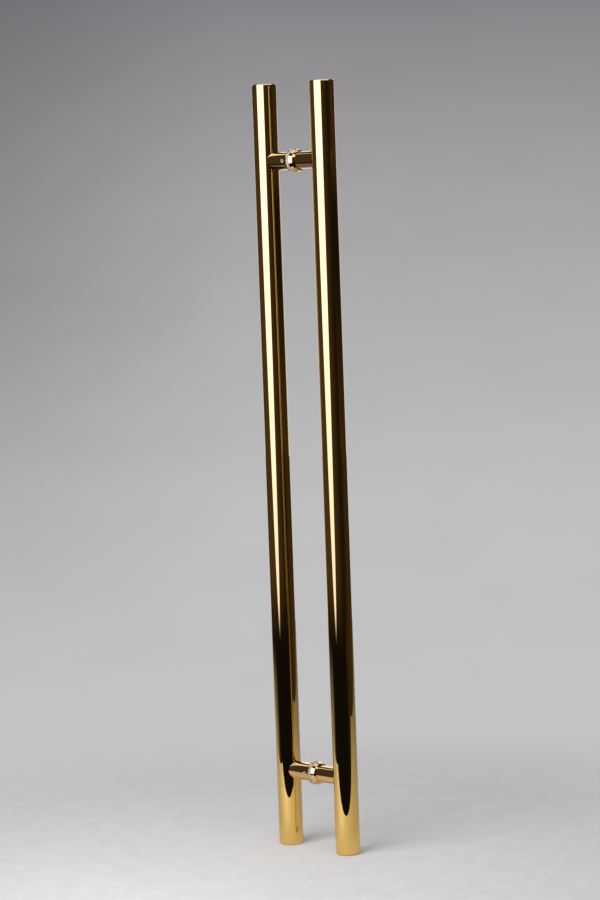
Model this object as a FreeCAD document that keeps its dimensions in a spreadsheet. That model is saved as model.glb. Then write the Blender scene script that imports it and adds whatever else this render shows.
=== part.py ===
import FreeCAD, Part
import math
import os
import Sketcher

# Back-to-back pair of tubular pulls for a glass door, closed with no glass in the clamp.
# Frame: +Z up, floor at Z = 0, X along the posts with the near tube at +X, grub screws facing -Y.

Vector = FreeCAD.Vector
Rotation = FreeCAD.Rotation

# Driving dimensions in millimetres
DIMENSIONS = [
    # Grip tubes and their end caps
    ("tube_length", 1000.0),
    ("tube_outer", 31.8),
    ("tube_wall", 1.2),
    ("cap_thickness", 2.5),
    ("cap_bevel", 1.2),
    ("cap_spigot_length", 6.0),
    ("cap_spigot_wall", 2.0),
    ("cap_fit", 0.05),
    # Posts
    ("post_spacing", 800.0),
    ("near_post_outer", 22.0),
    ("near_post_length", 27.4),
    ("far_post_outer", 23.0),
    ("far_post_web", 8.6),
    ("saddle_clearance", 0.05),
    # Clamp stack between the posts
    ("collar_outer", 30.0),
    ("collar_thickness", 6.8),
    ("collar_glass_bevel", 0.4),
    ("collar_taper", 1.7),
    ("collar_post_bevel", 1.4),
    ("gasket_outer", 29.4),
    ("gasket_thickness", 2.3),
    ("gasket_bevel", 0.4),
    ("disc_outer", 30.0),
    ("disc_thickness", 1.7),
    ("disc_bevel", 0.3),
    # Threaded pieces
    ("thread_outer", 8.0),
    ("thread_clearance", 0.05),
    ("thread_bevel", 0.8),
    ("thread_engagement", 10.0),
    ("hole_clearance", 0.25),
    ("insert_outer", 13.0),
    ("insert_length", 12.0),
    ("insert_fit", 0.05),
    ("screw_head_outer", 13.0),
    ("screw_head_height", 8.0),
    ("screw_head_bevel", 0.6),
    ("screw_head_gap", 2.0),
    ("screw_socket_flats", 6.0),
    ("screw_socket_depth", 4.0),
    # Clamp nut and the grub screw that holds the far post on it
    ("nut_outer", 15.6),
    ("nut_fit", 0.2),
    ("nut_front_land", 5.3),
    ("nut_back_land", 2.2),
    ("nut_bevel", 0.5),
    ("groove_depth", 1.0),
    ("groove_clearance", 0.3),
    ("grub_outer", 5.0),
    ("grub_fit", 0.05),
    ("grub_recess", 0.4),
    ("grub_bevel", 0.5),
    ("grub_socket_flats", 2.5),
    ("grub_socket_depth", 2.0),
]


class Size:
    """A size with its value and the expression that binds it to the spreadsheet."""

    def __init__(self, text, value):
        self.text = text
        self.value = value

    @staticmethod
    def of(number):
        return number if isinstance(number, Size) else Size(str(number), float(number))

    def __add__(self, other):
        other = Size.of(other)
        return Size(f"({self.text} + {other.text})", self.value + other.value)

    def __sub__(self, other):
        other = Size.of(other)
        return Size(f"({self.text} - {other.text})", self.value - other.value)

    def __mul__(self, other):
        other = Size.of(other)
        return Size(f"({self.text} * {other.text})", self.value * other.value)

    def __truediv__(self, other):
        other = Size.of(other)
        return Size(f"({self.text} / {other.text})", self.value / other.value)

    def __neg__(self):
        return Size(f"(0 - {self.text})", -self.value)


def root(size):
    return Size(f"sqrt({size.text})", math.sqrt(size.value))


def larger(first, second):
    return Size(f"max({first.text}; {second.text})", max(first.value, second.value))


doc = FreeCAD.newDocument("ladder_pull")
sheet = doc.addObject("Spreadsheet::Sheet", "dims")
size = {}
for row, (alias, value) in enumerate(DIMENSIONS, start=1):
    sheet.set(f"A{row}", alias)
    sheet.set(f"B{row}", str(value))
    sheet.setAlias(f"B{row}", alias)
    size[alias] = Size(f"dims.{alias}", value)
doc.recompute()

# Radii that follow from the driving sizes
NOTHING = Size("0", 0.0)
tube_radius = size["tube_outer"] / 2
tube_inner_radius = tube_radius - size["tube_wall"]
thread_radius = size["thread_outer"] / 2
threaded_bore = thread_radius + size["thread_clearance"]
clear_bore = thread_radius + size["hole_clearance"]
insert_radius = size["insert_outer"] / 2
nut_radius = size["nut_outer"] / 2
groove_radius = nut_radius - size["groove_depth"]
counterbore_radius = larger(size["nut_outer"], size["screw_head_outer"]) / 2 + size["nut_fit"]

# Lengths along the posts, each from its own tube's axis
# The flat outer end of an insert stays just under the round of the tube
insert_end = root(tube_radius * tube_radius - insert_radius * insert_radius)
thread_start = insert_end - size["thread_engagement"]
groove_width = size["grub_outer"] + size["groove_clearance"] * 2
nut_length = size["nut_front_land"] + groove_width + size["nut_back_land"]
counterbore_depth = nut_length + size["screw_head_gap"] + size["screw_head_height"]
near_reach = tube_radius + size["near_post_length"]
far_reach = tube_radius + size["far_post_web"] + counterbore_depth
grub_reach = far_reach - size["nut_front_land"] - groove_width / 2
stack = size["disc_thickness"] + size["gasket_thickness"] * 2 + size["collar_thickness"]
stud_length = near_reach - thread_start + stack + nut_length - size["thread_bevel"]

# Places along X: the tubes' axes, then the clamp stack from the far post to the near post
near_x = (near_reach + stack + far_reach) / 2
far_x = -near_x
disc_x = far_x + far_reach
far_gasket_x = disc_x + size["disc_thickness"]
near_gasket_x = far_gasket_x + size["gasket_thickness"]
collar_x = near_gasket_x + size["gasket_thickness"]

# Heights of the two joints
end_gap = (size["tube_length"] - size["post_spacing"]) / 2
JOINTS = {"lower": end_gap, "upper": end_gap + size["post_spacing"]}

# Turn of a piece whose own axis is +X
TURNS = {
    "+X": Rotation(),
    "-X": Rotation(Vector(0, 0, 1), 180),
    "+Z": Rotation(Vector(0, 1, 0), -90),
    "-Z": Rotation(Vector(0, 1, 0), 90),
    "-Y": Rotation(Vector(0, 0, 1), -90),
}
# Each side's tube axis, and the way its posts point
SIDES = {"near": (near_x, "-X"), "far": (far_x, "+X")}


def new_body(label):
    body = doc.addObject("PartDesign::Body", label)
    body.Label = label
    return body


def place(body, x, y, z, turn):
    body.Placement = FreeCAD.Placement(Vector(x.value, y.value, z.value), TURNS[turn])
    for letter, where in (("x", x), ("y", y), ("z", z)):
        body.setExpression(f"Placement.Base.{letter}", where.text)
    return body


def origin_plane(body, role):
    return next(item for item in body.Origin.OriginFeatures if item.Role == role)


def new_sketch(body, plane_role, name):
    sketch = body.newObject("Sketcher::SketchObject", f"{body.Name}_{name}")
    sketch.AttachmentSupport = [(origin_plane(body, plane_role), "")]
    sketch.MapMode = "FlatFace"
    return sketch


def bind(sketch, constraint, length):
    index = sketch.addConstraint(constraint)
    sketch.setExpression(f"Constraints[{index}]", length.text)


def hold_point(sketch, item, point, across, up):
    """Holds a point of a sketch item at a distance across and up from the sketch's origin."""
    if across is NOTHING:
        sketch.addConstraint(Sketcher.Constraint("PointOnObject", item, point, -2))
    else:
        bind(sketch, Sketcher.Constraint("DistanceX", -1, 1, item, point, across.value), across)
    if up is NOTHING:
        sketch.addConstraint(Sketcher.Constraint("PointOnObject", item, point, -1))
    else:
        bind(sketch, Sketcher.Constraint("DistanceY", -1, 1, item, point, up.value), up)


def outline(sketch, points):
    """Closed outline of straight lines through points given as sizes."""
    places = [Vector(across.value, up.value, 0) for across, up in points]
    count = len(points)
    for index in range(count):
        sketch.addGeometry(Part.LineSegment(places[index], places[(index + 1) % count]), False)
    for index in range(count):
        sketch.addConstraint(Sketcher.Constraint("Coincident", index, 2, (index + 1) % count, 1))
    for index, (across, up) in enumerate(points):
        hold_point(sketch, index, 1, across, up)


def circle(sketch, radius, across=NOTHING, up=NOTHING):
    """Circle with its centre at a distance across and up from the sketch's origin."""
    centre = Vector(across.value, up.value, 0)
    index = sketch.addGeometry(Part.Circle(centre, Vector(0, 0, 1), radius.value), False)
    hold_point(sketch, index, 3, across, up)
    bind(sketch, Sketcher.Constraint("Radius", index, radius.value), radius)


def turned(label, points):
    """Piece turned about its own X axis from points of axial place and radius."""
    body = new_body(label)
    profile = new_sketch(body, "XY_Plane", "profile")
    outline(profile, points)
    feature = body.newObject("PartDesign::Revolution", f"{body.Name}_turning")
    feature.Profile = profile
    feature.ReferenceAxis = (profile, ["H_Axis"])
    feature.Angle = 360.0
    doc.recompute()
    return body


def require_cut(body, volume_before, name):
    if not body.Shape.Volume < volume_before:
        raise RuntimeError(f"{name} takes nothing away")


def cut_through(body, sketch):
    """Pocket through the whole piece, both ways from its sketch."""
    before = body.Shape.Volume
    pocket = body.newObject("PartDesign::Pocket", f"{sketch.Name}_cut")
    pocket.Profile = sketch
    pocket.Type = "ThroughAll"
    pocket.SideType = "Symmetric"
    doc.recompute()
    require_cut(body, before, sketch.Name)


def cut_one_way(body, sketch, length):
    """Pocket from its sketch for a length, the way the sketch faces."""
    before = body.Shape.Volume
    pocket = body.newObject("PartDesign::Pocket", f"{sketch.Name}_cut")
    pocket.Profile = sketch
    pocket.Type = "Length"
    pocket.Reversed = True
    pocket.setExpression("Length", length.text)
    doc.recompute()
    require_cut(body, before, sketch.Name)


def hex_socket(body, flats, start, depth):
    """Hexagon socket along the piece's own axis, from an axial place for a depth."""
    before = body.Shape.Volume
    prism = body.newObject("PartDesign::SubtractivePrism", f"{body.Name}_socket")
    prism.AttachmentSupport = [(origin_plane(body, "YZ_Plane"), "")]
    prism.MapMode = "FlatFace"
    prism.Polygon = 6
    prism.setExpression("Circumradius", (flats / root(Size.of(3))).text)
    prism.setExpression("Height", depth.text)
    prism.setExpression("AttachmentOffset.Base.z", start.text)
    doc.recompute()
    require_cut(body, before, prism.Name)


def grip_tube(label):
    """Long tube with one hole for each post's insert, all on one side."""
    body = new_body(label)
    section = new_sketch(body, "XY_Plane", "section")
    circle(section, tube_radius)
    circle(section, tube_inner_radius)
    pad = body.newObject("PartDesign::Pad", f"{body.Name}_length")
    pad.Profile = section
    pad.setExpression("Length", (size["tube_length"] - size["cap_thickness"] * 2).text)
    doc.recompute()
    holes = new_sketch(body, "YZ_Plane", "holes")
    for joint_z in JOINTS.values():
        circle(holes, insert_radius + size["insert_fit"], up=joint_z - size["cap_thickness"])
    cut_one_way(body, holes, size["tube_outer"])
    return body


def end_cap(label):
    """Disc that closes a tube flush, with a bevelled edge and a hollow spigot inside the tube."""
    spigot_radius = tube_inner_radius - size["cap_fit"]
    spigot_bore = spigot_radius - size["cap_spigot_wall"]
    spigot_end = size["cap_thickness"] + size["cap_spigot_length"]
    return turned(label, [
        (NOTHING, NOTHING),
        (NOTHING, tube_radius - size["cap_bevel"]),
        (size["cap_bevel"], tube_radius),
        (size["cap_thickness"], tube_radius),
        (size["cap_thickness"], spigot_radius),
        (spigot_end, spigot_radius),
        (spigot_end, spigot_bore),
        (size["cap_thickness"], spigot_bore),
        (size["cap_thickness"], NOTHING),
    ])


def insert(label):
    """Threaded bush fixed in the tube's wall."""
    inner_end = insert_end - size["insert_length"]
    return turned(label, [
        (inner_end, threaded_bore),
        (inner_end, insert_radius),
        (insert_end, insert_radius),
        (insert_end, threaded_bore),
    ])


def saddle(body):
    """Fish-mouth end that sits on the round of the tube."""
    mouth = new_sketch(body, "XY_Plane", "saddle")
    circle(mouth, tube_radius + size["saddle_clearance"])
    cut_through(body, mouth)


def near_post(label):
    """Post with a plain hole for the stud."""
    post_radius = size["near_post_outer"] / 2
    body = turned(label, [
        (NOTHING, clear_bore),
        (NOTHING, post_radius),
        (near_reach, post_radius),
        (near_reach, clear_bore),
    ])
    saddle(body)
    return body


def far_post(label):
    """Post counterbored for the screw head and the clamp nut, with a cross hole for the grub screw."""
    post_radius = size["far_post_outer"] / 2
    counterbore_end = far_reach - counterbore_depth
    body = turned(label, [
        (NOTHING, clear_bore),
        (NOTHING, post_radius),
        (far_reach, post_radius),
        (far_reach, counterbore_radius),
        (counterbore_end, counterbore_radius),
        (counterbore_end, clear_bore),
    ])
    saddle(body)
    cross_hole = new_sketch(body, "XZ_Plane", "cross_hole")
    circle(cross_hole, size["grub_outer"] / 2 + size["grub_fit"], across=grub_reach)
    cut_one_way(body, cross_hole, size["far_post_outer"])
    return body


def disc_washer(label):
    """Thin disc between the far post and its gasket, with a small bevel on both edges."""
    radius = size["disc_outer"] / 2
    thickness = size["disc_thickness"]
    bevel = size["disc_bevel"]
    return turned(label, [
        (NOTHING, clear_bore),
        (NOTHING, radius - bevel),
        (bevel, radius),
        (thickness - bevel, radius),
        (thickness, radius - bevel),
        (thickness, clear_bore),
    ])


def gasket(label):
    """Soft ring that grips the glass, with a bevel on both edges."""
    radius = size["gasket_outer"] / 2
    thickness = size["gasket_thickness"]
    bevel = size["gasket_bevel"]
    return turned(label, [
        (NOTHING, clear_bore),
        (NOTHING, radius - bevel),
        (bevel, radius),
        (thickness - bevel, radius),
        (thickness, radius - bevel),
        (thickness, clear_bore),
    ])


def collar_nut(label):
    """Thick round nut that clamps the near post, tapered and bevelled towards it."""
    radius = size["collar_outer"] / 2
    taper_end = radius - size["collar_taper"]
    thickness = size["collar_thickness"]
    return turned(label, [
        (NOTHING, threaded_bore),
        (NOTHING, radius - size["collar_glass_bevel"]),
        (size["collar_glass_bevel"], radius),
        (thickness - size["collar_post_bevel"], taper_end),
        (thickness, taper_end - size["collar_post_bevel"]),
        (thickness, threaded_bore),
    ])


def stud(label):
    """Threaded stud with bevelled ends."""
    bevel = size["thread_bevel"]
    return turned(label, [
        (NOTHING, NOTHING),
        (NOTHING, thread_radius - bevel),
        (bevel, thread_radius),
        (stud_length - bevel, thread_radius),
        (stud_length, thread_radius - bevel),
        (stud_length, NOTHING),
    ])


def post_screw(label):
    """Socket head screw: its head seats on the counterbore's floor, its thread ends in the insert."""
    shank_length = tube_radius + size["far_post_web"] - thread_start
    head_end = shank_length + size["screw_head_height"]
    head_radius = size["screw_head_outer"] / 2
    socket_depth = size["screw_socket_depth"]
    bevel = size["thread_bevel"]
    body = turned(label, [
        (NOTHING, NOTHING),
        (NOTHING, thread_radius - bevel),
        (bevel, thread_radius),
        (shank_length, thread_radius),
        (shank_length, head_radius),
        (head_end - size["screw_head_bevel"], head_radius),
        (head_end, head_radius - size["screw_head_bevel"]),
        (head_end, NOTHING),
    ])
    hex_socket(body, size["screw_socket_flats"], head_end - socket_depth, socket_depth)
    return body


def clamp_nut(label):
    """Round nut on the stud, with a groove for the grub screw."""
    groove_start = size["nut_front_land"]
    groove_end = groove_start + groove_width
    bevel = size["nut_bevel"]
    return turned(label, [
        (NOTHING, threaded_bore),
        (NOTHING, nut_radius),
        (groove_start, nut_radius),
        (groove_start, groove_radius),
        (groove_end, groove_radius),
        (groove_end, nut_radius),
        (nut_length - bevel, nut_radius),
        (nut_length, nut_radius - bevel),
        (nut_length, threaded_bore),
    ])


grub_tip = groove_radius + size["grub_fit"]


def grub_screw(label):
    """Socket set screw from the nut's groove to just under the far post's skin."""
    length = size["far_post_outer"] / 2 - size["grub_recess"] - grub_tip
    radius = size["grub_outer"] / 2
    bevel = size["grub_bevel"]
    socket_depth = size["grub_socket_depth"]
    body = turned(label, [
        (NOTHING, NOTHING),
        (NOTHING, radius - bevel),
        (bevel, radius),
        (length, radius),
        (length, NOTHING),
    ])
    hex_socket(body, size["grub_socket_flats"], length - socket_depth, socket_depth)
    return body


parts = []

# The two grips
for side, (side_x, side_turn) in SIDES.items():
    parts.append(place(grip_tube(f"{side}_grip_tube"), side_x, NOTHING, size["cap_thickness"], side_turn))
    parts.append(place(end_cap(f"{side}_bottom_cap"), side_x, NOTHING, NOTHING, "+Z"))
    parts.append(place(end_cap(f"{side}_top_cap"), side_x, NOTHING, size["tube_length"], "-Z"))

# The two joints between the grips
for joint, joint_z in JOINTS.items():
    pieces = [
        (insert(f"{joint}_near_insert"), near_x, NOTHING, "-X"),
        (insert(f"{joint}_far_insert"), far_x, NOTHING, "+X"),
        (near_post(f"{joint}_near_post"), near_x, NOTHING, "-X"),
        (far_post(f"{joint}_far_post"), far_x, NOTHING, "+X"),
        (disc_washer(f"{joint}_disc_washer"), disc_x, NOTHING, "+X"),
        (gasket(f"{joint}_far_gasket"), far_gasket_x, NOTHING, "+X"),
        (gasket(f"{joint}_near_gasket"), near_gasket_x, NOTHING, "+X"),
        (collar_nut(f"{joint}_collar_nut"), collar_x, NOTHING, "+X"),
        (stud(f"{joint}_stud"), near_x - thread_start, NOTHING, "-X"),
        (post_screw(f"{joint}_post_screw"), far_x + thread_start, NOTHING, "+X"),
        (clamp_nut(f"{joint}_clamp_nut"), disc_x, NOTHING, "-X"),
        (grub_screw(f"{joint}_grub_screw"), far_x + grub_reach, -grub_tip, "-Y"),
    ]
    for body, x, y, turn in pieces:
        parts.append(place(body, x, y, joint_z, turn))

doc.recompute()

# Every object has to be sound before anything is written
for item in doc.Objects:
    if "Invalid" in item.State or "Error" in item.State:
        raise RuntimeError(f"{item.Label} did not build: {item.State}")
for part in parts:
    if part.Shape.isNull() or not part.Shape.isValid() or len(part.Shape.Solids) != 1:
        raise RuntimeError(f"{part.Label} is not one sound solid")

os.makedirs("parts", exist_ok=True)
for part in parts:
    part.Shape.exportStep(f"parts/{part.Label}.step")
    print(part.Label, round(part.Shape.Volume, 1))
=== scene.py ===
import math

import bmesh
import bpy
from mathutils import Matrix, Vector

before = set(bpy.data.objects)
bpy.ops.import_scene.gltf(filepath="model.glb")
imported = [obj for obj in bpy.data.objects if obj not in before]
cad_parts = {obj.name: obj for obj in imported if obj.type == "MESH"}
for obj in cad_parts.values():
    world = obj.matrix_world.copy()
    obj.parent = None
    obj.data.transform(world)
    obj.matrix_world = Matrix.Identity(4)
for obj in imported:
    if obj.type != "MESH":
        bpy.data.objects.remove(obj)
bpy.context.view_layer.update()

# Camera: the photograph's viewing angle, for an image 600 wide and 900 high

IMAGE_HEIGHT = 900
SENSOR_MM = 36.0
FOCAL_PIXELS = 2807.0
CAMERA_AZIMUTH = math.radians(44.888)
CAMERA_PITCH = math.radians(4.823)
CAMERA_ROLL = math.radians(-2.064)
CAMERA_DISTANCE = 3.6494
CAMERA_OFFSET_RIGHT = -0.00797
CAMERA_OFFSET_UP = 0.02534
AIM = Vector((0.0, 0.0, 0.5))

# Studio axes: X on the floor towards the camera, Y to the camera's right, Z up

STUDIO = Matrix.Rotation(CAMERA_AZIMUTH - math.pi / 2.0, 4, "Z")
TOWARDS = STUDIO @ Vector((1.0, 0.0, 0.0))
RIGHTWARDS = STUDIO @ Vector((0.0, 1.0, 0.0))
UPWARDS = Vector((0.0, 0.0, 1.0))

# Shader helpers

NOISE_LOW = 0.3
NOISE_HIGH = 0.7
TONES_LOW = 0.35
TONES_HIGH = 0.65
FULL_TURN = 360.0
GRADIENT_FRONT = 0.5


def rgba(tone):
    """A tone as the four numbers that a socket takes."""
    return (*tone, 1.0)


def new_material(name):
    material = bpy.data.materials.new(name)
    material.use_nodes = True
    return material


def shader_of(material):
    return material.node_tree.nodes["Principled BSDF"]


def add_node(tree, kind, **values):
    """Adds a node and sets its own options."""
    node = tree.nodes.new(kind)
    for key, value in values.items():
        setattr(node, key, value)
    return node


def show_as_surface(tree, shader):
    tree.links.new(shader, tree.nodes["Material Output"].inputs["Surface"])


def own_place(tree):
    """Where a point lies, in the piece's own axes."""
    return add_node(tree, "ShaderNodeTexCoord").outputs["Object"]


def along(tree, place, axis):
    """One of the three measures of a place."""
    parts = add_node(tree, "ShaderNodeSeparateXYZ")
    tree.links.new(place, parts.inputs["Vector"])
    return parts.outputs[axis]


def length_of(tree, place):
    reach = add_node(tree, "ShaderNodeVectorMath", operation="LENGTH")
    tree.links.new(place, reach.inputs[0])
    return reach.outputs["Value"]


def computed(tree, operation, first, second):
    """A product, difference or the like of two numbers."""
    node = add_node(tree, "ShaderNodeMath", operation=operation)
    tree.links.new(first, node.inputs[0])
    tree.links.new(second, node.inputs[1])
    return node.outputs["Value"]


def mapped(tree, source, start, end, low=0.0, high=1.0, steps="LINEAR"):
    """Low where the source is at start, high where it is at end, and held beyond both."""
    node = add_node(tree, "ShaderNodeMapRange", interpolation_type=steps)
    node.inputs["From Min"].default_value = start
    node.inputs["From Max"].default_value = end
    node.inputs["To Min"].default_value = low
    node.inputs["To Max"].default_value = high
    tree.links.new(source, node.inputs["Value"])
    return node.outputs["Result"]


def noise_at(tree, place, scale, detail):
    noise = add_node(tree, "ShaderNodeTexNoise")
    noise.inputs["Scale"].default_value = scale
    noise.inputs["Detail"].default_value = detail
    tree.links.new(place, noise.inputs["Vector"])
    return noise.outputs["Fac"]


def object_noise(tree, scale, detail):
    """Noise fixed to the piece itself."""
    return noise_at(tree, own_place(tree), scale, detail)


def spread(tree, noise, low, high):
    """Maps the middle of a noise to a range of plain numbers."""
    return mapped(tree, noise, NOISE_LOW, NOISE_HIGH, low, high)


def tone_ramp(tree, source, stops):
    """Tones along a number from nothing to one, given as pairs of that number and a tone."""
    ramp = add_node(tree, "ShaderNodeValToRGB")
    elements = ramp.color_ramp.elements
    while len(elements) < len(stops):
        elements.new(1.0)
    for element, (position, tone) in zip(elements, stops):
        element.position = position
        element.color = rgba(tone)
    tree.links.new(source, ramp.inputs["Fac"])
    return ramp.outputs["Color"]


def two_tones(tree, noise, first, second):
    """Mixes two tones by a noise."""
    return tone_ramp(tree, noise, ((TONES_LOW, first), (TONES_HIGH, second)))


def tone_by_turn(tree, tones):
    """Tones round the object, by the turn in degrees from the camera's direction to its right."""
    turn = add_node(tree, "ShaderNodeTexGradient", gradient_type="RADIAL")
    tree.links.new(own_place(tree), turn.inputs["Vector"])
    stops = [(GRADIENT_FRONT + degrees / FULL_TURN, tone) for degrees, tone in tones]
    return tone_ramp(tree, turn.outputs["Fac"], stops)


def share_by_reach(tree, start, end):
    """A share that goes from nothing at the first distance from the object to one at the second."""
    return mapped(tree, length_of(tree, own_place(tree)), start, end, steps="SMOOTHSTEP")


def mixed(tree, share, first, second):
    """Mixes two tones by a share. Each is a plain tone or comes from another node."""
    mix = add_node(tree, "ShaderNodeMix", data_type="RGBA")
    tree.links.new(share, mix.inputs["Factor"])
    for tone, socket in ((first, mix.inputs["A"]), (second, mix.inputs["B"])):
        if isinstance(tone, tuple):
            socket.default_value = rgba(tone)
        else:
            tree.links.new(tone, socket)
    return mix.outputs["Result"]


def mixed_shaders(tree, share, first, second):
    mix = add_node(tree, "ShaderNodeMixShader")
    tree.links.new(share, mix.inputs["Fac"])
    tree.links.new(first, mix.inputs[1])
    tree.links.new(second, mix.inputs[2])
    return mix.outputs["Shader"]


def raised(tree, noise, strength, depth):
    """A bump as deep as the marks of the finish."""
    bump = add_node(tree, "ShaderNodeBump")
    bump.inputs["Strength"].default_value = strength
    bump.inputs["Distance"].default_value = depth
    tree.links.new(noise, bump.inputs["Height"])
    return bump.outputs["Normal"]


# Finishes of the object

GRIP_PIECES = ("grip_tube", "top_cap", "bottom_cap")
GRIP_GOLD_BRIGHT = (1.0, 0.67, 0.22)
GRIP_GOLD_DEEP = (0.97, 0.63, 0.20)
# The fittings' gold: a little less saturated, and darkened as painted shade for their dimmer reflections.
SHADED_FITTING_GOLD_BRIGHT = (0.88, 0.60, 0.28)
SHADED_FITTING_GOLD_DEEP = (0.84, 0.57, 0.26)
GOLD_DRIFT = {"scale": 9.0, "detail": 2.0}
GOLD_HAZE = {"scale": 60.0, "detail": 5.0}
GOLD_WAVES = {"scale": 14.0, "detail": 1.0}
GOLD_ROUGHNESS = {"low": 0.008, "high": 0.02}
GOLD_RELIEF = {"strength": 0.05, "depth": 0.0001}
STEEL_BRIGHT = (0.98, 0.84, 0.52)
STEEL_DULL = (0.90, 0.77, 0.47)
STEEL_STAIN = {"scale": 400.0, "detail": 4.0}
STEEL_MARKS = {"scale": 1800.0, "detail": 3.0}
STEEL_ROUGHNESS = {"low": 0.55, "high": 0.65}
STEEL_RELIEF = {"strength": 0.15, "depth": 0.00003}
PLASTIC_PALE = (0.47, 0.40, 0.32)
PLASTIC_WARM = (0.41, 0.34, 0.265)
PLASTIC_MOTTLE = {"scale": 220.0, "detail": 3.0}
PLASTIC_SKIN = {"scale": 1600.0, "detail": 2.0}
PLASTIC_ROUGHNESS = {"low": 0.36, "high": 0.50}
PLASTIC_RELIEF = {"strength": 0.1, "depth": 0.00003}
PLASTIC_DEPTH_WEIGHT = 0.2
PLASTIC_DEPTH = (0.0012, 0.0010, 0.0008)


def polished_gold(name, deep, bright):
    """Mirror-polished gold plating: faint polishing haze and a slow drift of tone."""
    material = new_material(name)
    tree = material.node_tree
    shader = shader_of(material)
    shader.inputs["Metallic"].default_value = 1.0
    drift = object_noise(tree, **GOLD_DRIFT)
    haze = object_noise(tree, **GOLD_HAZE)
    waves = object_noise(tree, **GOLD_WAVES)
    tree.links.new(two_tones(tree, drift, deep, bright), shader.inputs["Base Color"])
    tree.links.new(spread(tree, haze, **GOLD_ROUGHNESS), shader.inputs["Roughness"])
    tree.links.new(raised(tree, waves, **GOLD_RELIEF), shader.inputs["Normal"])
    return material


def screw_steel():
    """Turned steel with a warm tint: fine marks and a soft shine."""
    material = new_material("screw_steel_finish")
    tree = material.node_tree
    shader = shader_of(material)
    shader.inputs["Metallic"].default_value = 1.0
    stain = object_noise(tree, **STEEL_STAIN)
    marks = object_noise(tree, **STEEL_MARKS)
    tree.links.new(two_tones(tree, stain, STEEL_DULL, STEEL_BRIGHT), shader.inputs["Base Color"])
    tree.links.new(spread(tree, stain, **STEEL_ROUGHNESS), shader.inputs["Roughness"])
    tree.links.new(raised(tree, marks, **STEEL_RELIEF), shader.inputs["Normal"])
    return material


def pale_plastic():
    """Moulded gasket plastic: pale, a little mottled, with a satin skin."""
    material = new_material("pale_plastic_finish")
    tree = material.node_tree
    shader = shader_of(material)
    shader.inputs["Subsurface Weight"].default_value = PLASTIC_DEPTH_WEIGHT
    shader.inputs["Subsurface Radius"].default_value = PLASTIC_DEPTH
    mottle = object_noise(tree, **PLASTIC_MOTTLE)
    skin = object_noise(tree, **PLASTIC_SKIN)
    tree.links.new(two_tones(tree, mottle, PLASTIC_WARM, PLASTIC_PALE), shader.inputs["Base Color"])
    tree.links.new(spread(tree, mottle, **PLASTIC_ROUGHNESS), shader.inputs["Roughness"])
    tree.links.new(raised(tree, skin, **PLASTIC_RELIEF), shader.inputs["Normal"])
    return material


def dress_nodes():
    """Gives each node the finish of its slot. The grips and the fittings have a gold each: the fittings'
    gold is a little less saturated, and is darkened as painted shade for their dimmer reflections.
    """
    grip_gold = polished_gold("grip_gold_finish", GRIP_GOLD_DEEP, GRIP_GOLD_BRIGHT)
    shaded_fittings_gold = polished_gold("shaded_fittings_gold_finish", SHADED_FITTING_GOLD_DEEP, SHADED_FITTING_GOLD_BRIGHT)
    steel = screw_steel()
    plastic = pale_plastic()
    for name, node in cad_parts.items():
        gold = grip_gold if name.endswith(GRIP_PIECES) else shaded_fittings_gold
        finishes = {"polished_gold": gold, "screw_steel": steel, "pale_plastic": plastic}
        for slot in node.material_slots:
            slot.material = finishes[slot.material.name.split(".")[0]]


# Floor that the camera sees, which fades into the background

FLOOR_HALF = 1.6
FLOOR_CELLS = 8
FLOOR_FADE_START = 0.3
FLOOR_FADE_END = 0.9
PAPER_PALE = (0.82, 0.815, 0.81)
PAPER_SHADE = (0.78, 0.775, 0.77)
PAPER_MOTTLE = {"scale": 30.0, "detail": 4.0}
PAPER_TOOTH = {"scale": 900.0, "detail": 3.0}
PAPER_RELIEF = {"strength": 0.1, "depth": 0.0002}
PAPER_ROUGHNESS = 0.9
PAPER_SHINE = 0.2


def matt_paper(name):
    """Studio paper with a faint tooth, which gets its tone elsewhere."""
    material = new_material(name)
    tree = material.node_tree
    shader = shader_of(material)
    shader.inputs["Roughness"].default_value = PAPER_ROUGHNESS
    shader.inputs["Specular IOR Level"].default_value = PAPER_SHINE
    tooth = object_noise(tree, **PAPER_TOOTH)
    tree.links.new(raised(tree, tooth, **PAPER_RELIEF), shader.inputs["Normal"])
    return material


def floor_paper():
    """Pale mottled paper that is clear far from the object."""
    material = matt_paper("floor_paper")
    tree = material.node_tree
    shader = shader_of(material)
    mottle = object_noise(tree, **PAPER_MOTTLE)
    tree.links.new(two_tones(tree, mottle, PAPER_SHADE, PAPER_PALE), shader.inputs["Base Color"])
    clear = add_node(tree, "ShaderNodeBsdfTransparent")
    fade = share_by_reach(tree, FLOOR_FADE_START, FLOOR_FADE_END)
    show_as_surface(tree, mixed_shaders(tree, fade, shader.outputs["BSDF"], clear.outputs["BSDF"]))
    return material


def stage_object(name, shape, material):
    """Makes an object of the studio, which is no piece of the part."""
    mesh = bpy.data.meshes.new(name)
    shape.to_mesh(mesh)
    shape.free()
    mesh.materials.append(material)
    piece = bpy.data.objects.new(name, mesh)
    piece.matrix_world = STUDIO
    bpy.context.scene.collection.objects.link(piece)
    return piece


def add_floor():
    """The floor keeps the object's shadow and stays out of the polish, which sees the sheet."""
    shape = bmesh.new()
    bmesh.ops.create_grid(shape, x_segments=FLOOR_CELLS, y_segments=FLOOR_CELLS, size=FLOOR_HALF)
    floor = stage_object("studio_floor", shape, floor_paper())
    floor.visible_glossy = False


# What the polished metal sees around it: a sheet of paper in a dark studio that is open at the back

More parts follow.
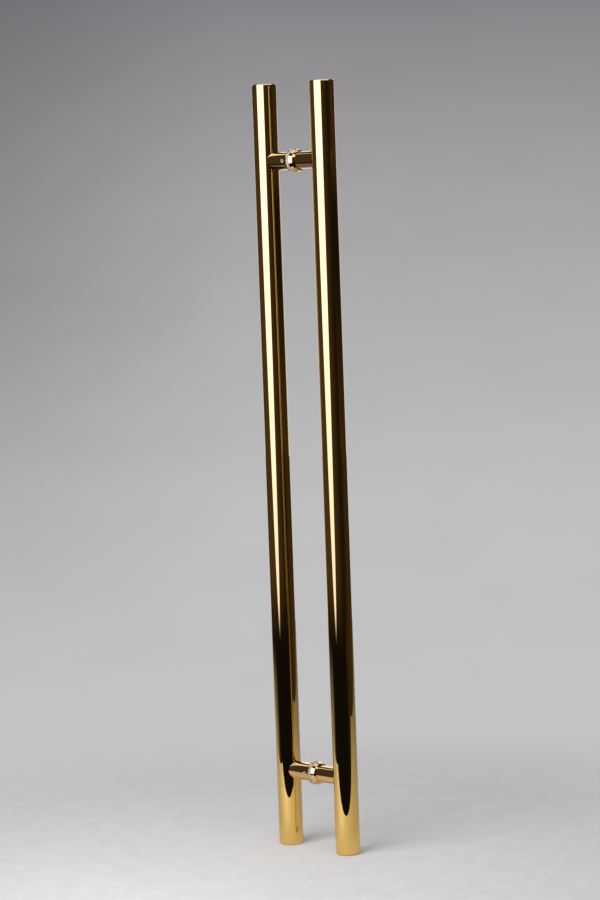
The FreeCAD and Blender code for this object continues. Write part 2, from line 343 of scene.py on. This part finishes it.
SHEET_LIFT = 0.0004
SHEET_CORNERS = ((0.22, -0.555), (0.415, 1.0), (-2.8, 1.5), (-2.8, -1.2))
SHEET_FOOT_REACH = 0.06
SHEET_NEAR_REACH = 0.24
SHEET_FAR_REACH = 1.5
# Painted light in the sheet's tone: a level round the foot, and bright and dark parts by turn, near and
# far.
SHEET_FOOT_PAINTED_LIGHT = (0.76, 0.75, 0.68)
SHEET_NEAR_PAINTED_LIGHT = (
    (-180, (0.62, 0.62, 0.62)),
    (-106, (0.60, 0.60, 0.62)),
    (-40, (0.92, 0.92, 0.86)),
    (0, (0.73, 0.72, 0.62)),
    (57, (0.63, 0.61, 0.51)),
    (106, (0.60, 0.59, 0.58)),
    (180, (0.60, 0.60, 0.60)),
)
SHEET_FAR_PAINTED_LIGHT = (
    (-180, (0.60, 0.60, 0.60)),
    (-18, (0.60, 0.60, 0.56)),
    (57, (0.34, 0.33, 0.30)),
    (106, (0.26, 0.25, 0.23)),
    (150, (0.30, 0.30, 0.29)),
    (180, (0.60, 0.60, 0.60)),
)
STUDIO_RADIUS = 3.0
STUDIO_SEGMENTS = 120
STUDIO_RINGS = 60
# Painted light of the glowing walls, by turn.
WALL_PAINTED_LIGHT = (
    (-180, (0.020, 0.016, 0.012)),
    (-100, (0.062, 0.045, 0.028)),
    (0, (0.040, 0.030, 0.020)),
    (40, (0.011, 0.009, 0.007)),
    (62, (0.012, 0.009, 0.007)),
    (90, (0.042, 0.026, 0.014)),
    (180, (0.020, 0.016, 0.012)),
)
OPENING_TURN = 150.0
OPENING_HEIGHT = 22.0
GROUND_LEVEL = -0.002
GROUND_RADIUS = 2.0 * STUDIO_RADIUS
GROUND_NEAR_REACH = 1.6
# Painted light of the glowing dark ground near the object, by turn.
GROUND_NEAR_PAINTED_LIGHT = (
    (-180, (0.005, 0.005, 0.005)),
    (40, (0.005, 0.005, 0.005)),
    (60, (0.028, 0.020, 0.012)),
    (80, (0.034, 0.020, 0.010)),
    (110, (0.044, 0.032, 0.020)),
    (180, (0.020, 0.016, 0.012)),
)
SPILL_FULL_REACH = 0.7
SPILL_END_REACH = 1.9
SPILL_TONES = (
    (-180, (0.26, 0.25, 0.26)),
    (-116, (0.26, 0.25, 0.26)),
    (-84, (0.0, 0.0, 0.0)),
    (180, (0.0, 0.0, 0.0)),
)


def seen_in_reflections_only(piece):
    piece.visible_camera = False
    piece.visible_diffuse = False
    piece.visible_transmission = False
    piece.visible_volume_scatter = False
    piece.visible_shadow = False


def glowing(name):
    """A material that glows by itself, for what only reflections show."""
    material = new_material(name)
    tree = material.node_tree
    glow = add_node(tree, "ShaderNodeEmission")
    show_as_surface(tree, glow.outputs["Emission"])
    return material, glow


def sheet_paper():
    """Paper with painted light in its tone: brightest towards the key lamp, darker far off to the right,
    and an even painted level round the foot.
    """
    material = matt_paper("sheet_paper")
    tree = material.node_tree
    near = tone_by_turn(tree, SHEET_NEAR_PAINTED_LIGHT)
    far = tone_by_turn(tree, SHEET_FAR_PAINTED_LIGHT)
    around_object = mixed(tree, share_by_reach(tree, SHEET_NEAR_REACH, SHEET_FAR_REACH), near, far)
    clear_of_foot = share_by_reach(tree, SHEET_FOOT_REACH, SHEET_NEAR_REACH)
    tone = mixed(tree, clear_of_foot, SHEET_FOOT_PAINTED_LIGHT, around_object)
    tree.links.new(tone, shader_of(material).inputs["Base Color"])
    return material


def add_sheet():
    shape = bmesh.new()
    corners = []
    for towards, right in SHEET_CORNERS:
        corners.append(shape.verts.new((towards, right, SHEET_LIFT)))
    shape.faces.new(corners)
    seen_in_reflections_only(stage_object("studio_paper", shape, sheet_paper()))


def dark_walls():
    """Walls that glow in dim warm tones, painted light that differs from side to side."""
    material, glow = glowing("studio_walls")
    tree = material.node_tree
    tree.links.new(tone_by_turn(tree, WALL_PAINTED_LIGHT), glow.inputs["Color"])
    return material


def in_opening(middle):
    """Whether a place on the shell lies in its opening, low down behind the object."""
    height = math.degrees(math.asin(middle.z / middle.length))
    turn = math.degrees(math.atan2(middle.y, middle.x))
    return height < OPENING_HEIGHT and abs(turn) > OPENING_TURN


def add_walls():
    """The upper half of a shell, without the faces in its opening."""
    shape = bmesh.new()
    bmesh.ops.create_uvsphere(
        shape, u_segments=STUDIO_SEGMENTS, v_segments=STUDIO_RINGS, radius=STUDIO_RADIUS
    )
    gone = []
    for face in shape.faces:
        middle = face.calc_center_median()
        if middle.z < 0.0 or in_opening(middle):
            gone.append(face)
    bmesh.ops.delete(shape, geom=gone, context="FACES")
    seen_in_reflections_only(stage_object("studio_walls", shape, dark_walls()))


def dark_ground():
    """Dark ground that glows with painted light: tones by turn near the object, the walls' painted light
    far off, and a little light spilt at the back left.
    """
    material, glow = glowing("studio_dark_floor")
    tree = material.node_tree
    near = tone_by_turn(tree, GROUND_NEAR_PAINTED_LIGHT)
    far = tone_by_turn(tree, WALL_PAINTED_LIGHT)
    depth = share_by_reach(tree, GROUND_NEAR_REACH, STUDIO_RADIUS)
    tree.links.new(mixed(tree, depth, near, far), glow.inputs["Color"])
    spill = add_node(tree, "ShaderNodeEmission")
    tree.links.new(tone_by_turn(tree, SPILL_TONES), spill.inputs["Color"])
    tree.links.new(share_by_reach(tree, SPILL_END_REACH, SPILL_FULL_REACH), spill.inputs["Strength"])
    both = add_node(tree, "ShaderNodeAddShader")
    tree.links.new(glow.outputs["Emission"], both.inputs[0])
    tree.links.new(spill.outputs["Emission"], both.inputs[1])
    show_as_surface(tree, both.outputs["Shader"])
    return material


def add_ground():
    shape = bmesh.new()
    below = Matrix.Translation((0.0, 0.0, GROUND_LEVEL))
    bmesh.ops.create_circle(
        shape, cap_ends=True, segments=STUDIO_SEGMENTS, radius=GROUND_RADIUS, matrix=below
    )
    seen_in_reflections_only(stage_object("studio_dark_floor", shape, dark_ground()))


# Lamps, which light the object and do not show in reflections

KEY_TURN = -43.0
KEY_DISTANCE = 0.80
KEY_HEIGHT = 0.835
KEY_WIDTH = 0.96
KEY_TALL = 1.32
KEY_LEAN = math.radians(7.0)
KEY_POWER = 8.6
TOP_TURN = -5.0
TOP_DISTANCE = 1.35
TOP_HEIGHT = 2.1
TOP_WIDTH = 3.0
TOP_TALL = 0.75
TOP_POWER = 12.0


def around(turn, distance, height):
    """A place at a turn in degrees from the camera's direction to its right."""
    angle = math.radians(turn)
    return STUDIO @ Vector((math.cos(angle) * distance, math.sin(angle) * distance, height))


def facing(place, aim, lean):
    """A pose that looks from a place to an aim, turned about that line by the lean."""
    turn = (aim - place).to_track_quat("-Z", "Y").to_matrix() @ Matrix.Rotation(lean, 3, "Z")
    return Matrix.Translation(place) @ turn.to_4x4()


def upright(turn, distance, height, lean=0.0):
    """A pose that looks level towards the object."""
    return facing(around(turn, distance, height), UPWARDS * height, lean)


def top_pose():
    """The pose of the top lamp and of its card."""
    return facing(around(TOP_TURN, TOP_DISTANCE, TOP_HEIGHT), AIM, 0.0)


def add_lamp(name, shape, pose, width, tall, power):
    light = bpy.data.lights.new(name, "AREA")
    light.shape = shape
    light.size = width
    light.size_y = tall
    light.energy = power
    lamp = bpy.data.objects.new(name, light)
    lamp.matrix_world = pose
    lamp.visible_camera = False
    lamp.visible_glossy = False
    bpy.context.scene.collection.objects.link(lamp)


def add_lamps():
    key_pose = upright(KEY_TURN, KEY_DISTANCE, KEY_HEIGHT, KEY_LEAN)
    add_lamp("key_lamp", "ELLIPSE", key_pose, KEY_WIDTH, KEY_TALL, KEY_POWER)
    add_lamp("top_lamp", "RECTANGLE", top_pose(), TOP_WIDTH, TOP_TALL, TOP_POWER)


# Cards, which show in reflections and do not light the object otherwise

CARD_HALF = 0.5
FIRST_REFLECTION = 1.0
SECOND_REFLECTION = 2.0
KEY_CARD_TURN = -42.0
KEY_CARD_DISTANCE = 1.7
KEY_CARD_HEIGHT = 1.56
KEY_CARD_WIDTH = 2.36
KEY_CARD_TALL = 3.1
KEY_CARD_LEAN = math.radians(3.0)
KEY_CARD_SEGMENTS = 96
KEY_CARD_FULL_GLOW = -0.25
KEY_CARD_RIM = 0.95 * CARD_HALF
KEY_TONE = (0.60, 0.60, 1.12)
KEY_SECOND_TONE = (0.25, 0.375, 0.95)
KEY_GLOW_LOW = 2.0
KEY_GLOW_HIGH = 3.3
TOP_TONE = (0.40, 0.38, 0.41)
TOP_SECOND_TONE = (0.28, 0.45, 1.3)
TOP_GLOW = 4.0
CEILING_HEIGHT = 2.6
CEILING_BACK = -0.55
CEILING_SIZE = 2.0
CEILING_SEGMENTS = 48
CEILING_PAINTED_TONE = (0.84, 0.87, 1.28)
CEILING_GLOW = 1.1
BACK_TURN = 180.0
BACK_DISTANCE = 1.7
BACK_HEIGHT = 1.0
BACK_WIDTH = 0.9
BACK_TALL = 1.9
BACK_PAINTED_HIGHLIGHT = (1.3, 1.261, 1.196)
BACK_SECOND_PAINTED_HIGHLIGHT = (0.2, 0.194, 0.184)
FLAG_TURN = 93.0
FLAG_DISTANCE = 2.0
FLAG_HEIGHT = 0.65
FLAG_WIDTH = 2.6
FLAG_TALL = 0.62
# Painted light of the glowing flag, from its foot to its head.
FLAG_PAINTED_LIGHT = (
    (0.0, (0.042, 0.026, 0.014)),
    (0.6, (0.008, 0.008, 0.007)),
    (0.82, (0.008, 0.008, 0.007)),
    (1.0, (0.042, 0.026, 0.014)),
)


def tone_by_reflection(tree, first, second):
    """One tone in the first reflection of a card and another in the reflection of that."""
    rays = add_node(tree, "ShaderNodeLightPath")
    share = mapped(tree, rays.outputs["Glossy Depth"], FIRST_REFLECTION, SECOND_REFLECTION)
    return mixed(tree, share, first, second)


def key_card():
    """The key lamp's face: dimmer towards its foot and its rim, and cooler in second reflections."""
    material, glow = glowing("key_card")
    tree = material.node_tree
    place = own_place(tree)
    height = along(tree, place, "Y")
    level = mapped(tree, height, -CARD_HALF, KEY_CARD_FULL_GLOW, KEY_GLOW_LOW, KEY_GLOW_HIGH)
    rim = mapped(tree, length_of(tree, place), CARD_HALF, KEY_CARD_RIM, steps="SMOOTHSTEP")
    tree.links.new(tone_by_reflection(tree, KEY_TONE, KEY_SECOND_TONE), glow.inputs["Color"])
    tree.links.new(computed(tree, "MULTIPLY", level, rim), glow.inputs["Strength"])
    return material


def top_card():
    """The top lamp's face, which is cooler in second reflections."""
    material, glow = glowing("top_card")
    tree = material.node_tree
    tree.links.new(tone_by_reflection(tree, TOP_TONE, TOP_SECOND_TONE), glow.inputs["Color"])
    glow.inputs["Strength"].default_value = TOP_GLOW
    return material


def ceiling_card():
    """A plain pale card overhead that glows, a painted reflection of a bright ceiling."""
    material, glow = glowing("ceiling_card")
    glow.inputs["Color"].default_value = rgba(CEILING_PAINTED_TONE)
    glow.inputs["Strength"].default_value = CEILING_GLOW
    return material


def back_card():
    """A pale card behind the object that glows, a painted highlight of a strip light where no lamp
    stands, and dimmer in second reflections.
    """
    material, glow = glowing("back_card")
    tree = material.node_tree
    tree.links.new(tone_by_reflection(tree, BACK_PAINTED_HIGHLIGHT, BACK_SECOND_PAINTED_HIGHLIGHT), glow.inputs["Color"])
    return material


def dark_flag():
    """A dark cloth at the right that glows faintly, whose painted light takes the walls' tone towards its
    foot and head.
    """
    material, glow = glowing("dark_flag")
    tree = material.node_tree
    height = mapped(tree, along(tree, own_place(tree), "Y"), -CARD_HALF, CARD_HALF)
    tree.links.new(tone_ramp(tree, height, FLAG_PAINTED_LIGHT), glow.inputs["Color"])
    return material


def oblong():
    shape = bmesh.new()
    bmesh.ops.create_grid(shape, x_segments=1, y_segments=1, size=CARD_HALF)
    return shape


def disc(segments):
    shape = bmesh.new()
    bmesh.ops.create_circle(shape, cap_ends=True, segments=segments, radius=CARD_HALF)
    return shape


def add_card(name, shape, material, pose, width, tall):
    """Sets up a card, whose shape is one metre wide and tall, at its real size."""
    card = stage_object(name, shape, material)
    card.matrix_world = pose @ Matrix.Diagonal((width, tall, 1.0, 1.0))
    seen_in_reflections_only(card)


def add_cards():
    key_pose = upright(KEY_CARD_TURN, KEY_CARD_DISTANCE, KEY_CARD_HEIGHT, KEY_CARD_LEAN)
    add_card("key_card", disc(KEY_CARD_SEGMENTS), key_card(), key_pose, KEY_CARD_WIDTH, KEY_CARD_TALL)
    add_card("top_card", oblong(), top_card(), top_pose(), TOP_WIDTH, TOP_TALL)
    ceiling_pose = STUDIO @ Matrix.Translation((CEILING_BACK, 0.0, CEILING_HEIGHT))
    ceiling = disc(CEILING_SEGMENTS)
    add_card("ceiling_card", ceiling, ceiling_card(), ceiling_pose, CEILING_SIZE, CEILING_SIZE)
    back_pose = upright(BACK_TURN, BACK_DISTANCE, BACK_HEIGHT)
    add_card("back_card", oblong(), back_card(), back_pose, BACK_WIDTH, BACK_TALL)
    flag_pose = upright(FLAG_TURN, FLAG_DISTANCE, FLAG_HEIGHT)
    add_card("dark_flag", oblong(), dark_flag(), flag_pose, FLAG_WIDTH, FLAG_TALL)


# Background, by the height and side of the direction in which it is seen

BACKGROUND_LOW = -0.3
BACKGROUND_HIGH = 0.1
BACKGROUND_TONES = (
    (-0.3, (0.70, 0.70, 0.70)),
    (-0.2, (0.56, 0.56, 0.56)),
    (-0.1, (0.52, 0.518, 0.52)),
    (0.0, (0.384, 0.375, 0.384)),
    (0.09, (0.205, 0.198, 0.214)),
)
DIM_LEFT = -0.107
DIM_RIGHT = -0.02
DIM_LOW = -0.17
DIM_HIGH = -0.03
DIM_SHARE = 0.28
CREASE_STRETCH = (22.0, 22.0, 55.0)
CREASES = {"scale": 1.0, "detail": 3.0}
CREASE_LEVELS = {"low": 0.985, "high": 1.015}
FILL_LIGHT = (0.37, 0.37, 0.38)


def background_tone(tree, direction):
    """A pale grey that darkens upwards, painted shade as on the paper behind the object."""
    height = mapped(tree, along(tree, direction, "Z"), BACKGROUND_LOW, BACKGROUND_HIGH)
    span = BACKGROUND_HIGH - BACKGROUND_LOW
    stops = [((level - BACKGROUND_LOW) / span, tone) for level, tone in BACKGROUND_TONES]
    return tone_ramp(tree, height, stops)


def soft_creases(tree, direction):
    """A level near one, with the faint painted shading of creases that lie flat."""
    stretch = add_node(tree, "ShaderNodeMapping")
    stretch.inputs["Scale"].default_value = CREASE_STRETCH
    tree.links.new(direction, stretch.inputs["Vector"])
    creases = noise_at(tree, stretch.outputs["Vector"], **CREASES)
    return spread(tree, creases, **CREASE_LEVELS)


def upper_left_dimness(tree, direction):
    """The share of light that is missing at the upper left."""
    aside = add_node(tree, "ShaderNodeVectorMath", operation="DOT_PRODUCT")
    aside.inputs[1].default_value = RIGHTWARDS
    tree.links.new(direction, aside.inputs[0])
    leftness = mapped(tree, aside.outputs["Value"], DIM_RIGHT, DIM_LEFT)
    upness = mapped(tree, along(tree, direction, "Z"), DIM_LOW, DIM_HIGH, high=DIM_SHARE)
    return computed(tree, "MULTIPLY", leftness, upness)


def add_world():
    """The background for camera, glossy and transmission rays, and a plain fill for the rest."""
    world = bpy.data.worlds.new("studio_world")
    world.use_nodes = True
    bpy.context.scene.world = world
    tree = world.node_tree
    tree.nodes.clear()
    direction = add_node(tree, "ShaderNodeTexCoord").outputs["Generated"]
    level = computed(tree, "SUBTRACT", soft_creases(tree, direction), upper_left_dimness(tree, direction))
    backdrop = add_node(tree, "ShaderNodeBackground")
    tree.links.new(background_tone(tree, direction), backdrop.inputs["Color"])
    tree.links.new(level, backdrop.inputs["Strength"])
    fill = add_node(tree, "ShaderNodeBackground")
    fill.inputs["Color"].default_value = rgba(FILL_LIGHT)
    rays = add_node(tree, "ShaderNodeLightPath")
    seen = computed(tree, "MAXIMUM", rays.outputs["Is Camera Ray"], rays.outputs["Is Glossy Ray"])
    shown = computed(tree, "MAXIMUM", seen, rays.outputs["Is Transmission Ray"])
    both = mixed_shaders(tree, shown, fill.outputs["Background"], backdrop.outputs["Background"])
    output = add_node(tree, "ShaderNodeOutputWorld")
    tree.links.new(both, output.inputs["Surface"])


# Camera and the order of work


def add_camera():
    """The camera of the photograph, rolled about its own line of sight."""
    forward = -TOWARDS * math.cos(CAMERA_PITCH) - UPWARDS * math.sin(CAMERA_PITCH)
    level_up = RIGHTWARDS.cross(forward)
    right = RIGHTWARDS * math.cos(CAMERA_ROLL) + level_up * math.sin(CAMERA_ROLL)
    up = level_up * math.cos(CAMERA_ROLL) - RIGHTWARDS * math.sin(CAMERA_ROLL)
    place = AIM - forward * CAMERA_DISTANCE + right * CAMERA_OFFSET_RIGHT + up * CAMERA_OFFSET_UP
    lens = bpy.data.cameras.new("camera")
    lens.sensor_width = SENSOR_MM
    lens.lens = FOCAL_PIXELS * SENSOR_MM / IMAGE_HEIGHT
    camera = bpy.data.objects.new("camera", lens)
    turn = Matrix((right, up, -forward)).transposed().to_4x4()
    camera.matrix_world = Matrix.Translation(place) @ turn
    bpy.context.scene.collection.objects.link(camera)
    bpy.context.scene.camera = camera


dress_nodes()
add_floor()
add_sheet()
add_walls()
add_ground()
add_lamps()
add_cards()
add_world()
add_camera()
bpy.context.scene.view_settings.view_transform = "Standard"
